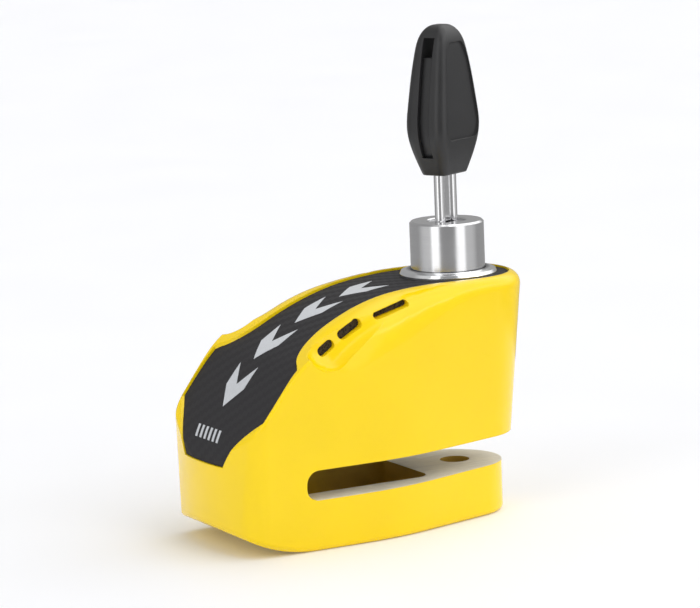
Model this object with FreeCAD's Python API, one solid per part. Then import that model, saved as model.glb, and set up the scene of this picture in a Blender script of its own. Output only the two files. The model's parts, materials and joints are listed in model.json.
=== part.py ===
import FreeCAD, Part
import math
import os

from FreeCAD import Vector

# Motorcycle disc brake lock with a push-down locking barrel and a built-in alarm.
# Millimetres.  The lock stands on its base at z = 0, its nose points along -X, the mouth that
# takes the brake disc opens along +X, and the barrel and its pin move along Z.

# --- Driving dimensions -------------------------------------------------------------------
AXIS_X = 25.2                 # barrel, pin and key axis
NOSE_X = -41.5                # front of the nose on the centre line
NOSE_R = 60.0                 # plan radius of the nose face
NOSE_CORNER_R = 5.5           # plan rounding from the nose face into the sides, low down
NOSE_CORNER_R_HIGH = 1.5      # and far up, where the lock's corners are sharper
SIDE_Y_AT_BASE = 19.2         # half width of the flat sides at z = 0
SIDE_DRAFT = 0.078            # the sides lean out by this much per millimetre of height
FLANK_X_LOW = 3.1             # where the flat sides turn in towards the mouth, at the slot
FLANK_X_HIGH = -8.0           # and at the top
FLANK_X_JAW = 0.0             # and on the lower jaw
FLANK_R = 68.0                # plan radius of that turn
MOUTH_R_LOW = 13.6            # mouth end of the upper body at the slot ceiling
MOUTH_R_HIGH = 17.1           # and at the top
JAW_R = 12.0                  # tip of the lower jaw
JAW_TIP_X = 24.2              # centre of that tip
TOP_Z = 57.0                  # flat top of the body, round the barrel
NOSE_EDGE_R = 0.8             # rounding between the top and the sides: sharp round the nose,
RISE_EDGE_R = 5.5             # soon larger above the waist,
SHOULDER_R = 9.0              # full along the sides,
BACK_EDGE_R = 4.8             # and tighter again beside the barrel
MOUTH_EDGE_R = 3.0            # and at the mouth end
BASE_EDGE_R = 1.3             # rounding round the flat base
CHIN_X = -22.0                # the underside starts to rise here
CHIN_R = 34.0                 # on this radius, seen from the side
# side view of the nose and the back, in two smooth stretches that meet at the waist
WAIST = (-24.2, 44.4)
NOSE_LINE = ((-42.6, 17.6), (-39.3, 26.2), (-35.6, 31.6), (-31.4, 36.9), (-26.8, 42.2), WAIST)
RISE = (-20.7, 46.7)          # the back's rounding has widened here
BACK_LINE = (WAIST, RISE, (-16.7, 49.1), (-11.7, 51.6), (-6.1, 53.8),
             (0.6, 55.6), (8.2, 56.6), (18.0, TOP_Z))
NOSE_HEADING = (3.4, 8.84)    # direction of the line at the foot of the nose,
WAIST_HEADING = (3.0, 2.2)    # at the waist
TOP_HEADING = (7.0, 0.0)      # and where it runs into the flat top

SLOT_LOW = 12.0               # the disc slot, between the jaw and the upper body
SLOT_HIGH = 19.0
SLOT_END_X = -24.8            # its closed end
SLOT_END_R = 3.0
POCKET_END_X = 11.5           # weight-saving pocket in the lower jaw
POCKET_Y = 12.6               # half width
POCKET_FLOOR = 3.0
POCKET_R = 3.2

COVER_SINK = (0.35, 0.55)     # how far the cover lies under the body's skin, back and down
COVER_BED = (1.9, 2.3)        # and the bed that it lies on
SEAM = 0.12                   # seam round the cover
COVER_FRONT = ((9.6, 20.4), (13.4, 25.2), (20.9, 31.6), (21.0, 36.4), (20.7, 41.0))
COVER_TOP = ((-25.5, 19.0), (-23.5, 15.7), (-20.7, 13.7), (-16.7, 12.5), (-11.7, 12.0),
             (-6.1, 11.7), (0.6, 11.8), (8.2, 12.3), (16.0, 13.1), (26.0, 13.5))
COVER_END_X = 26.0            # round end of the cover behind the barrel
COVER_END_R = 13.5
SPLIT_X = -26.4               # the front outline is seen from the nose, the rest from above

BORE_R = 8.80                 # barrel bore and its floor
BORE_FLOOR = 23.0
SLEEVE_R = 8.75               # barrel, with the lock open
SLEEVE_LOW = 36.8
SLEEVE_TOP = 69.3
TRAVEL = 13.0                 # how far the barrel is pushed down to lock
CORE_R = 6.35                 # bore inside the sleeve
WEB_LOW = 43.8                # solid web of the sleeve, between spring seat and latch chamber
WEB_HIGH = 46.3
PIN_R = 3.0                   # locking pin and the two holes that it passes
PIN_TIP = 19.3
PIN_HOLE_R = 3.05
JAW_HOLE_R = 3.5

LATCH_LOW = 46.6              # latch bolt, in a chamber under the plug
LATCH_HIGH = 50.0
LATCH_THROW = 2.2
LATCH_HALF_Y = 2.6
PLUG_LOW = 51.2
LIP_Z = 67.8                  # underside of the sleeve's top lip
FACE_R = 4.55                 # keyhole face, inside the lip
CAM_PIN_R = 0.85              # eccentric pin between the plug and the latch bolt

KEY_TURN = 27.0               # the key's wide face, turned from the lock's length
LOBE_R = 1.25                 # key blade: two round lobes joined by a web
LOBE_AT = 2.55
WEB_HALF = 0.35
KEY_TIP = 53.2
BLADE_HIGH = 98.0             # end of the blade inside the handle
HANDLE_LOW = 80.3
HANDLE_HIGH = 115.2
# height, width and thickness of the handle
HANDLE_SECTIONS = ((HANDLE_LOW, 10.2, 6.9), (82.6, 12.2, 8.2), (85.6, 14.5, 9.8), (88.6, 16.4, 10.9),
                   (91.4, 17.2, 11.4), (96.5, 16.3, 11.0), (103.0, 14.1, 10.1), (109.0, 11.5, 8.9),
                   (112.6, 9.0, 7.4), (114.4, 6.2, 5.2), (HANDLE_HIGH, 2.8, 2.4))
HANDLE_CORNER = 0.24          # corner rounding of a section, as a share of its thickness
FOOT_EDGE_R = 0.5
THUMB_PAD = ((-5.9, 88.6), (-6.8, 92.0), (-4.6, 107.0), (-3.0, 111.2))
PAD_DEPTH = 0.45              # how far the thumb pads are sunk
PAD_CORNER_R = 1.6
GROOVE_HALF = 1.5             # groove along the handle's narrow sides
GROOVE_Z = (84.6, 112.4)
CORE_TOP = 107.8              # insert that shows in the groove, and how deep it lies
CORE_SINK = 1.1

BAY_LOW = 22.5                # alarm bay
BAY_X = (-33.0, 11.6)
BAY_Y = 15.0
THROAT_Y = 10.7               # the bay's opening under the cover
HATCH_X = (-17.8, 11.0)       # opening of the battery hatch, in the slot's ceiling
HATCH_Y = 9.5
HATCH_LAND = 3.4              # width of the land that the hatch plate lies on
HATCH_PLATE = 1.6
HATCH_LAND_Z = 21.0
HATCH_SCREW_X = (-19.1, 12.5)
BOARD_X = (-20.0, 11.0)       # circuit board
BOARD_Y = 10.2
BOARD_Z = 39.4
BOARD_T = 1.0
BOARD_SCREW_X = (-15.5, 8.0)
BOARD_SCREW_Y = 8.3
BATTERY_R = 7.8               # cell, lying along the lock
BATTERY_X = (-16.4, 9.6)
BATTERY_Z = 30.9
SIREN_X = -4.5                # sounder, round, on the board
SIREN_R = 8.2
LED_AT = (4.7, -10.0)         # status light in the cover
LED_R = 0.9

# middle of each vent along and up, its length and its tilt in degrees
VENTS = ((-17.0, 46.0, 4.6, 33.0, 2.2), (-10.9, 49.7, 6.4, 30.0, 2.2), (-0.4, 53.1, 9.6, 14.0, 1.5))
DUCT_Y = (14.4, 16.2)         # upright ducts that join the vents to the bay
SCALLOP_R = 6.0               # round-bottomed hollow that the vents sit in
SCALLOP_OUT = (3.1, 2.8)      # its centre line, out and up from the shoulder line
SCALLOP_LINE = ((-18.4, 19.6, 44.6), (-10.5, 19.8, 50.2), (-3.5, 20.3, 53.3), (1.0, 20.3, 54.2))

RING_SKIRT_R = 10.5           # chrome ring round the barrel, and its skirt in the body
RING_SKIRT_LOW = 52.6
RING_R = 11.45
RING_TOP = 58.1
RING_SEAT = TOP_Z - COVER_SINK[1]
SEAL_R = 0.5                  # rubber ring inside it
SEAL_OUT = BORE_R + 1.05
SEAL_Z = 54.3
GUIDE_Z = 40.0                # set screw that keeps the barrel from turning
GUIDE_R = 2.0
GUIDE_TIP_R = 1.25
BUSH_R = 4.6                  # brass bush of the locking pin
SPRING_SEAT_R = 6.6           # return spring under the barrel
SPRING_R = 5.2
SPRING_WIRE = 0.5             # half the side of its square wire
SPRING_TURNS = 6
CLIP_LOW = 50.5               # retaining ring under the plug
CLIP_HIGH = 51.05
CLIP_R = 6.85
CROSS_R = 0.75                # cross pin through the locking pin
CROSS_Z = 45.0
MAGNET_R = 1.0                # magnet in the barrel's side, felt by the board's reed
MAGNET_Z = 56.0
DISC_R = 5.2                  # detainer discs and their spacers
DISC_LOW = 53.0
DISC_T = 1.2
SPACER_T = 0.5
DISC_COUNT = 8
UP = Vector(0, 0, 1)


# --- Helpers ------------------------------------------------------------------------------
def cyl(radius, low, high, x=AXIS_X, y=0.0):
    return Part.makeCylinder(radius, high - low, Vector(x, y, low))


def box(x, y, z):
    return Part.makeBox(x[1] - x[0], y[1] - y[0], z[1] - z[0], Vector(x[0], y[0], z[0]))


def tube(outer, inner, low, high, x=AXIS_X, y=0.0):
    return cyl(outer, low, high, x, y).cut(cyl(inner, low - 1, high + 1, x, y))


def rounded_box(x, y, z, radius):
    """Box with its four upright edges rounded."""
    block = box(x, y, z)
    upright = [e for e in block.Edges if abs(e.tangentAt(e.FirstParameter).z) > 0.9]
    return block.makeFillet(radius, upright)


def turned(points, x=AXIS_X, y=0.0):
    """Solid turned round an upright axis, from (radius, height) points."""
    wire = Part.makePolygon([Vector(r, 0, z) for r, z in points + points[:1]])
    solid = Part.Face(wire).revolve(Vector(0, 0, 0), UP, 360)
    solid.translate(Vector(x, y, 0))
    return solid


def prism_y(points, half):
    """Side outline of (x, z) points, carried across the width."""
    wire = Part.makePolygon([Vector(px, -half, pz) for px, pz in points + points[:1]])
    return Part.Face(wire).extrude(Vector(0, 2 * half, 0))


def moved(shape, offset):
    copy = shape.copy()
    copy.translate(Vector(*offset))
    return copy


def both_sides(shape):
    return [shape, shape.mirror(Vector(0, 0, 0), Vector(0, 1, 0))]


# --- Outer form ---------------------------------------------------------------------------
def side_y(z):
    return SIDE_Y_AT_BASE + SIDE_DRAFT * z


def plan_wire(z, mouth_x, mouth_r, flank_x, corner_r):
    """Outline of the lock at one height: nose arc, flat sides, flanks and round mouth end."""
    half = side_y(z)
    reach = mouth_x - flank_x
    lean = math.acos(mouth_r / math.hypot(half, reach)) - math.atan2(reach, half)
    tangent = FLANK_R * math.tan(lean / 2)
    mouth = Vector(mouth_x + mouth_r * math.sin(lean), mouth_r * math.cos(lean), z)
    turn_out = Vector(flank_x + tangent * math.cos(lean), half - tangent * math.sin(lean), z)
    turn_in = Vector(flank_x - tangent, half, z)
    turn_mid = Vector(turn_in.x + FLANK_R * math.sin(lean / 2),
                      half - FLANK_R * (1 - math.cos(lean / 2)), z)
    nose_cx = NOSE_X + NOSE_R
    corner_y = half - corner_r
    corner_x = nose_cx - math.sqrt((NOSE_R - corner_r) ** 2 - corner_y ** 2)
    turn = math.atan2(corner_y, nose_cx - corner_x)
    side_end = Vector(corner_x, half, z)
    nose_end = Vector(nose_cx - NOSE_R * math.cos(turn), NOSE_R * math.sin(turn), z)
    middle = (math.pi / 2 + turn) / 2
    corner_mid = Vector(corner_x - corner_r * math.cos(middle),
                        corner_y + corner_r * math.sin(middle), z)

    def far(v):
        return Vector(v.x, -v.y, v.z)

    edges = [
        Part.Arc(far(mouth), Vector(mouth_x + mouth_r, 0, z), mouth).toShape(),
        Part.makeLine(mouth, turn_out),
        Part.Arc(turn_out, turn_mid, turn_in).toShape(),
        Part.makeLine(turn_in, side_end),
        Part.Arc(side_end, corner_mid, nose_end).toShape(),
        Part.Arc(nose_end, Vector(NOSE_X, 0, z), far(nose_end)).toShape(),
        Part.Arc(far(nose_end), far(corner_mid), far(side_end)).toShape(),
        Part.makeLine(far(side_end), far(turn_in)),
        Part.Arc(far(turn_in), far(turn_mid), far(turn_out)).toShape(),
        Part.makeLine(far(turn_out), far(mouth)),
    ]
    return Part.Wire(edges)


def side_profile():
    """Everything under the line of the nose and the back, as a prism across the width."""
    stretches = ((NOSE_LINE, NOSE_HEADING, WAIST_HEADING, []),
                 (BACK_LINE, WAIST_HEADING, TOP_HEADING, [RISE]))
    edges = []
    for line, start, end, breaks in stretches:
        curve = Part.BSplineCurve()
        curve.interpolate([Vector(x, 0, z) for x, z in line],
                          InitialTangent=Vector(start[0], 0, start[1]),
                          FinalTangent=Vector(end[0], 0, end[1]))
        stops = [curve.parameter(Vector(x, 0, z)) for x, z in breaks]
        stops = [curve.FirstParameter] + stops + [curve.LastParameter]
        edges += [curve.toShape(a, b) for a, b in zip(stops, stops[1:])]
    first = Vector(NOSE_LINE[0][0], 0, NOSE_LINE[0][1])
    last = Vector(BACK_LINE[-1][0], 0, BACK_LINE[-1][1])
    corners = [last, Vector(60, 0, TOP_Z), Vector(60, 0, -5), Vector(first.x, 0, -5), first]
    for a, b in zip(corners, corners[1:]):
        edges.append(Part.makeLine(a, b))
    face = Part.Face(Part.Wire(edges))
    face.translate(Vector(0, -40, 0))
    return face.extrude(Vector(0, 80, 0))


def upper_form():
    """Outside of everything above the slot, with its rounded shoulders."""
    wires = []
    for z in (SLOT_LOW, TOP_Z + 5):
        share = (z - SLOT_HIGH) / (TOP_Z - SLOT_HIGH)
        mouth_r = MOUTH_R_LOW + share * (MOUTH_R_HIGH - MOUTH_R_LOW)
        flank_x = FLANK_X_LOW + share * (FLANK_X_HIGH - FLANK_X_LOW)
        corner_r = NOSE_CORNER_R if z == SLOT_LOW else NOSE_CORNER_R_HIGH
        wires.append(plan_wire(z, AXIS_X, mouth_r, flank_x, corner_r))
    block = Part.makeLoft(wires, True, True)
    form = block.common(side_profile())
    return rounded_rim(form)


def rounded_rim(form):
    """Round the top rim, with a radius that changes along the sides."""
    document = FreeCAD.newDocument("rim")
    source = document.addObject("Part::Feature", "form")
    source.Shape = form
    rim = document.addObject("Part::Fillet", "rounded")
    rim.Base = source
    radii = []
    for number, edge in enumerate(form.Edges, 1):
        first, last = [edge.valueAt(p) for p in edge.ParameterRange]
        start = edge.tangentAt(edge.FirstParameter)
        straight = edge.Curve.TypeId == "Part::GeomLine"
        across = straight and abs(start.y) > 0.999 and edge.Length > SIDE_Y_AT_BASE
        if min(first.z, last.z) > SLOT_HIGH + 1 and not across and abs(start.z) < 0.97:
            # radii are taken in order round the rim: mouth, near side, nose, far side
            ends = sorted((first.x, last.x), reverse=first.y + last.y < 0)
            radii.append((number, rim_radius(ends[0]), rim_radius(ends[1])))
    rim.Edges = radii
    document.recompute()
    rounded = rim.Shape.copy()
    FreeCAD.closeDocument(document.Name)
    return rounded


def rim_radius(x):
    """Radius of the rim's rounding at x."""
    for limit, radius in ((WAIST[0], NOSE_EDGE_R), (RISE[0], RISE_EDGE_R), (0.0, SHOULDER_R),
                          (BACK_LINE[-1][0], BACK_EDGE_R)):
        if x < limit + SEAM:
            return radius
    return MOUTH_EDGE_R


def lower_form():
    """Outside of everything below the slot ceiling, with the chin and the base edge."""
    wires = [plan_wire(z, JAW_TIP_X, JAW_R, FLANK_X_JAW, NOSE_CORNER_R) for z in (0.0, SLOT_LOW)]
    block = Part.makeLoft(wires, True, True)
    chin = Part.makeCylinder(CHIN_R, 80, Vector(CHIN_X, -40, CHIN_R), Vector(0, 1, 0))
    under = box((-60, CHIN_X), (-40, 40), (-1, CHIN_R)).cut(chin)
    block = block.cut(under)
    base = [e for e in block.Edges if max(v.Point.z for v in e.Vertexes) < SLOT_LOW - 3
            and not (abs(e.tangentAt(e.FirstParameter).y) > 0.999 and e.Length > SIDE_Y_AT_BASE)]
    return block.makeFillet(BASE_EDGE_R, base)


def body_form():
    return UPPER.fuse(LOWER).removeSplitter()


# --- Cover --------------------------------------------------------------------------------
def spline_edge(points):
    curve = Part.BSplineCurve()
    curve.interpolate(points)
    return curve.toShape()


def cover_region(grow):
    """Region inside the cover's outline: nose part seen along X, top part seen along Z."""
    front = [Vector(-50, y + grow, z - (grow if k == 0 else 0))
             for k, (y, z) in enumerate(COVER_FRONT)]
    near = [Vector(p.x, -p.y, p.z) for p in front]
    edges = [Part.makeLine(near[0], front[0])]
    for side in (front, near):
        edges.append(spline_edge(side[0:3]))
        edges.append(spline_edge(side[2:5]))
        edges.append(Part.makeLine(side[4], Vector(-50, side[4].y, 70)))
    edges.append(Part.makeLine(Vector(-50, front[4].y, 70), Vector(-50, near[4].y, 70)))
    nose = Part.Face(Part.Wire(Part.__sortEdges__(edges)))
    nose = nose.extrude(Vector(50 + SPLIT_X, 0, 0))

    top = [Vector(x, y + grow, 20) for x, y in COVER_TOP]
    near = [Vector(p.x, -p.y, p.z) for p in top]
    tip = Vector(COVER_END_X + COVER_END_R + grow, 0, 20)
    start = [Vector(SPLIT_X, s * (COVER_FRONT[-1][0] + grow), 20) for s in (1, -1)]
    edges = [Part.makeLine(start[1], start[0])]
    for side, first in ((top, start[0]), (near, start[1])):
        edges.append(Part.makeLine(first, side[0]))
        edges.append(spline_edge(side))
    edges.append(Part.Arc(top[-1], tip, near[-1]).toShape())
    back = Part.Face(Part.Wire(Part.__sortEdges__(edges)))
    back = back.extrude(Vector(0, 0, 50))
    return nose.fuse(back)


def top_cover():
    skin = moved(UPPER, (COVER_SINK[0], 0, -COVER_SINK[1]))
    bed = moved(UPPER, (COVER_BED[0], 0, -COVER_BED[1]))
    cover = skin.common(cover_region(0.0)).cut(bed)
    cover = cover.cut(cyl(RING_SKIRT_R + 0.15, 40, 70))
    cover = cover.cut(cyl(LED_R, 40, 70, *LED_AT))
    return max(cover.Solids, key=lambda s: s.Volume)


# --- Lock body ----------------------------------------------------------------------------
def vent_slot(vent, y_low, y_high, play=0.0):
    """One round-ended vent, straight in from the side."""
    x, z, length, tilt, height = vent
    half = height / 2 - play
    reach = length / 2 - height / 2
    slot = box((-reach, reach), (y_low, y_high), (-half, half))
    ends = [Part.makeCylinder(half, y_high - y_low, Vector(s * reach, y_low, 0), Vector(0, 1, 0))
            for s in (-1, 1)]
    slot = slot.fuse(ends).removeSplitter()
    slot.rotate(Vector(0, 0, 0), Vector(0, 1, 0), -tilt)
    slot.translate(Vector(x, 0, z))
    return slot


def scallop():
    """Round-bottomed hollow along the shoulder, with the vents in it."""
    path = [Vector(x, y + SCALLOP_OUT[0], z + SCALLOP_OUT[1]) for x, y, z in SCALLOP_LINE]
    spine = spline_edge(path)
    start = path[0]
    ring = Part.Wire(Part.makeCircle(SCALLOP_R, start, spine.tangentAt(spine.FirstParameter)))
    trough = Part.Wire(spine).makePipeShell([ring], True, True)
    ends = [Part.makeSphere(SCALLOP_R, p) for p in (path[0], path[-1])]
    return [trough] + ends


def bay():
    """Alarm bay, open to the bed of the cover, with lugs for the board left standing."""
    lower = rounded_box(BAY_X, (-BAY_Y, BAY_Y), (BAY_LOW, 44.0), 3.0)
    neck = rounded_box(BAY_X, (-THROAT_Y, THROAT_Y), (40.0, 60.0), 3.0)
    roof = moved(UPPER, (4.0, 0, -4.0))
    throat = moved(UPPER, (1.0, 0, -1.0))
    hollow = lower.common(roof).fuse(neck.common(throat))
    lugs = []
    for x in BOARD_SCREW_X:
        lug = box((x - 2.2, x + 2.2), (BOARD_SCREW_Y - 2.0, BAY_Y + 1), (BOARD_Z - 2.5, BOARD_Z))
        lugs += both_sides(lug)
    lugs.append(cyl(1.6, BAY_LOW - 1, BAY_LOW + 3, HATCH_SCREW_X[0]))
    return hollow.cut(lugs)


def latch_pocket(drop):
    low = LATCH_LOW - 0.3 - drop
    high = LATCH_HIGH + 0.3 - drop
    return box((AXIS_X, AXIS_X + BORE_R + 2.7), (-LATCH_HALF_Y - 0.3, LATCH_HALF_Y + 0.3),
               (low, high))


def lock_body():
    body = body_form()
    slot = box((SLOT_END_X, 60), (-40, 40), (SLOT_LOW, SLOT_HIGH))
    end = [e for e in slot.Edges if abs(e.tangentAt(e.FirstParameter).y) > 0.9
           and e.Vertexes[0].Point.x < SLOT_END_X + 1]
    slot = slot.makeFillet(SLOT_END_R, end)
    bed = moved(UPPER, (COVER_BED[0] + 0.03, 0, -COVER_BED[1] - 0.03))
    recess = box((-60, 60), (-40, 40), (0, 80)).cut(bed).common(cover_region(SEAM))
    pocket = rounded_box((SLOT_END_X + 1, POCKET_END_X), (-POCKET_Y, POCKET_Y),
                         (POCKET_FLOOR, SLOT_LOW + 1), POCKET_R)
    hatch = rounded_box(HATCH_X, (-HATCH_Y, HATCH_Y), (SLOT_HIGH - 1, BAY_LOW + 1), 2.0)
    land = rounded_box((HATCH_X[0] - HATCH_LAND, HATCH_X[1] + HATCH_LAND),
                       (-HATCH_Y - HATCH_LAND, HATCH_Y + HATCH_LAND),
                       (SLOT_HIGH - 1, HATCH_LAND_Z), 3.0)
    holes = [cyl(0.83, SLOT_HIGH, SLOT_HIGH + 5.0, x) for x in HATCH_SCREW_X]
    for x in BOARD_SCREW_X:
        holes += both_sides(cyl(0.7, BOARD_Z - 3, BOARD_Z + 0.5, x, BOARD_SCREW_Y))
    cuts = [slot, recess, pocket, hatch, land]
    cuts += [cyl(BORE_R, BORE_FLOOR, 70), cyl(BUSH_R, 18, BORE_FLOOR + 0.5)]
    cuts += [cyl(RING_SKIRT_R + 0.05, RING_SKIRT_LOW, 70), cyl(JAW_HOLE_R, 4.5, SLOT_LOW + 1)]
    cuts += [latch_pocket(0.0), latch_pocket(TRAVEL)]
    cuts.append(Part.makeCylinder(GUIDE_R, 8, Vector(BAY_X[1] - 1, 0, GUIDE_Z), Vector(1, 0, 0)))
    for vent in VENTS:
        x, z, length, tilt, height = vent
        half = length / 2 - height / 2
        cuts += both_sides(vent_slot(vent, DUCT_Y[0], 30))
        cuts += both_sides(box((x - half, x + half), DUCT_Y, (BOARD_Z - 1, z)))
    for piece in scallop():
        cuts += both_sides(piece)
    cuts.append(cyl(LED_R + 0.1, BOARD_Z, 60, *LED_AT))
    cuts.append(bay())
    for cut in cuts + holes:
        body = body.cut(cut)
    return max(body.Solids, key=lambda s: s.Volume).removeSplitter()


# --- Fittings of the body -----------------------------------------------------------------
def trim_ring():
    """Domed chrome ring with a skirt that presses into the body, grooved inside for the seal."""
    points = [(BORE_R + 0.05, RING_SKIRT_LOW), (RING_SKIRT_R, RING_SKIRT_LOW),
              (RING_SKIRT_R, RING_SEAT), (RING_R, RING_SEAT), (RING_R, RING_SEAT + 0.6),
              (RING_R - 0.35, RING_SEAT + 1.25), (RING_R - 1.1, RING_TOP - 0.15),
              (RING_R - 1.7, RING_TOP), (BORE_R + 0.3, RING_TOP), (BORE_R + 0.05, RING_TOP - 0.3)]
    ring = turned(points)
    return ring.cut(tube(SEAL_OUT, BORE_R, SEAL_Z - SEAL_R - 0.05, SEAL_Z + SEAL_R + 0.05))


def bore_seal():
    """Rubber ring that wipes the barrel."""
    centre_r = SEAL_OUT - SEAL_R - 0.02
    return Part.makeTorus(centre_r, SEAL_R, Vector(AXIS_X, 0, SEAL_Z))


def pin_bush():
    return tube(BUSH_R, PIN_HOLE_R, SLOT_HIGH + 0.4, BORE_FLOOR)


def guide_screw():
    """Set screw through the bay wall, with a dog point that rides in the sleeve's groove."""
    along = Vector(1, 0, 0)
    thread = Part.makeCylinder(GUIDE_R, 4.2, Vector(BAY_X[1] + 0.2, 0, GUIDE_Z), along)
    point = Part.makeCylinder(GUIDE_TIP_R, 1.9, Vector(BAY_X[1] + 4.4, 0, GUIDE_Z), along)
    socket = hexagon(1.0, 2.0)
    socket.rotate(Vector(0, 0, 0), Vector(0, 1, 0), 90)
    socket.translate(Vector(BAY_X[1] + 0.1, 0, GUIDE_Z))
    return thread.fuse(point).cut(socket)


def hexagon(radius, height):
    corners = [Vector(radius * math.cos(k * math.pi / 3), radius * math.sin(k * math.pi / 3), 0)
               for k in range(7)]
    return Part.Face(Part.makePolygon(corners)).extrude(Vector(0, 0, height))


def hatch_land(gap):
    return ((HATCH_X[0] - HATCH_LAND + gap, HATCH_X[1] + HATCH_LAND - gap),
            (-HATCH_Y - HATCH_LAND + gap, HATCH_Y + HATCH_LAND - gap))


def hatch_plate():
    """Battery hatch in the slot's ceiling, flush with it."""
    x, y = hatch_land(0.1)
    plate = rounded_box(x, y, (SLOT_HIGH + 0.05, SLOT_HIGH + 0.05 + HATCH_PLATE), 2.9)
    for sx in HATCH_SCREW_X:
        sink = Part.makeCone(1.9, 1.0, 0.9, Vector(sx, 0, SLOT_HIGH + 0.05))
        plate = plate.cut(sink.fuse(cyl(1.0, SLOT_HIGH, SLOT_HIGH + 3, sx)))
    return plate


def hatch_gasket():
    x, y = hatch_land(0.15)
    ring = rounded_box(x, y, (SLOT_HIGH + 0.05 + HATCH_PLATE, HATCH_LAND_Z), 2.8)
    ring = ring.cut(box((HATCH_X[0], HATCH_X[1]), (-HATCH_Y, HATCH_Y), (SLOT_HIGH, BAY_LOW)))
    return ring.cut([cyl(1.0, SLOT_HIGH, BAY_LOW, sx) for sx in HATCH_SCREW_X])


def countersunk_screw(x):
    head = Part.makeCone(1.85, 0.95, 0.88, Vector(x, 0, SLOT_HIGH + 0.07))
    shank = cyl(0.8, SLOT_HIGH + 0.9, SLOT_HIGH + 4.6, x)
    cross = [box((x - 1.0, x + 1.0), (-0.2, 0.2), (SLOT_HIGH, SLOT_HIGH + 0.5)),
             box((x - 0.2, x + 0.2), (-1.0, 1.0), (SLOT_HIGH, SLOT_HIGH + 0.5))]
    return head.fuse(shank).cut(cross)


def hatch_screws():
    return Part.makeCompound([countersunk_screw(x) for x in HATCH_SCREW_X])


def pan_screw(x, y, seat, length):
    head = cyl(1.25, seat, seat + 0.9, x, y)
    shank = cyl(0.68, seat - length, seat, x, y)
    cross = [box((x - 0.8, x + 0.8), (y - 0.15, y + 0.15), (seat + 0.5, seat + 1)),
             box((x - 0.15, x + 0.15), (y - 0.8, y + 0.8), (seat + 0.5, seat + 1))]
    return head.fuse(shank).cut(cross)


# --- Alarm --------------------------------------------------------------------------------
def board_places():
    return [(x, s * BOARD_SCREW_Y) for x in BOARD_SCREW_X for s in (-1, 1)]


def alarm_board():
    board = rounded_box(BOARD_X, (-BOARD_Y, BOARD_Y), (BOARD_Z, BOARD_Z + BOARD_T), 1.5)
    return board.cut([cyl(0.8, BOARD_Z - 1, BOARD_Z + 2, x, y) for x, y in board_places()])


def board_components():
    """Controller, driver coil, resistors and the status light, standing on the board."""
    top = BOARD_Z + BOARD_T
    parts = [box((5.2, 8.4), (-3.2, 0.4), (top, top + 1.0)),
             box((-19.2, -15.4), (-3.0, 3.0), (top, top + 1.1)),
             box((LED_AT[0] - 0.8, LED_AT[0] + 0.8), (LED_AT[1] + 0.2, LED_AT[1] + 1.6),
                 (top, top + 0.6))]
    for k in range(4):
        y = -4.5 + 3.0 * k
        parts.append(box((-14.6, -13.4), (y - 0.4, y + 0.4), (top, top + 0.5)))
    return Part.makeCompound(parts)


def board_screws():
    return Part.makeCompound([pan_screw(x, y, BOARD_Z + BOARD_T, 3.4) for x, y in board_places()])


def motion_sensor():
    """Sealed ball switch, lying on the board."""
    top = BOARD_Z + BOARD_T
    return Part.makeCylinder(1.4, 5.5, Vector(7.4, 1.4, top + 1.4), Vector(0, 1, 0))


def reed_switch():
    """Glass reed at the barrel end of the board: it feels the magnet in the pushed-down barrel."""
    top = BOARD_Z + BOARD_T
    return Part.makeCylinder(0.9, 9.0, Vector(10.0, -4.5, top + 0.9), Vector(0, 1, 0))


def siren_cup():
    """Sounder's chamber, open at the top."""
    top = BOARD_Z + BOARD_T
    cup = cyl(SIREN_R, top, top + 4.6, SIREN_X).cut(cyl(SIREN_R - 1.0, top + 1.0, top + 5, SIREN_X))
    lid = tube(SIREN_R, SIREN_R - 0.6, top + 3.4, top + 4.6, SIREN_X)
    return cup.fuse(lid).cut(cyl(SIREN_R - 0.6, top + 3.6, top + 3.9, SIREN_X))


def siren_disc():
    top = BOARD_Z + BOARD_T
    return cyl(SIREN_R - 0.65, top + 3.62, top + 3.88, SIREN_X)


def vent_screens():
    """Dust foam pressed into the inner end of each vent."""
    pads = [vent_slot(vent, DUCT_Y[0] + 0.1, DUCT_Y[1], 0.02) for vent in VENTS]
    return Part.makeCompound([half for pad in pads for half in both_sides(pad)])


def battery():
    along = Vector(1, 0, 0)
    length = BATTERY_X[1] - BATTERY_X[0] - 1.0
    cell = Part.makeCylinder(BATTERY_R, length, Vector(BATTERY_X[0], 0, BATTERY_Z), along)
    button = Part.makeCylinder(2.6, 1.0, Vector(BATTERY_X[1] - 1.0, 0, BATTERY_Z), along)
    return cell.fuse(button)


def battery_clips():
    """Spring plates at the two ends of the cell."""
    clips = []
    for x in (BATTERY_X[0] - 0.5, BATTERY_X[1] + 0.1):
        clips.append(box((x, x + 0.4), (-4.0, 4.0), (BATTERY_Z - 4.5, BATTERY_Z + 5.5)))
    return Part.makeCompound(clips)


def battery_tray():
    """Cradle with a round bed and two end walls; it drops out with the hatch off."""
    low = BAY_LOW + 0.2
    tray = box((BATTERY_X[0] - 1.0, BATTERY_X[1] + 1.0), (-9.0, 9.0), (low, BATTERY_Z - 1.0))
    bed = Part.makeCylinder(BATTERY_R + 0.1, BATTERY_X[1] - BATTERY_X[0] + 1.1,
                            Vector(BATTERY_X[0] - 0.55, 0, BATTERY_Z), Vector(1, 0, 0))
    return tray.cut(bed)


def led_lens():
    """Light pipe from the board's status light to the cover."""
    low = BOARD_Z + BOARD_T + 0.7
    pipe = cyl(LED_R - 0.05, low, 60, *LED_AT)
    return pipe.common(moved(UPPER, (0, 0, -COVER_SINK[1] - 0.15)))


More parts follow.
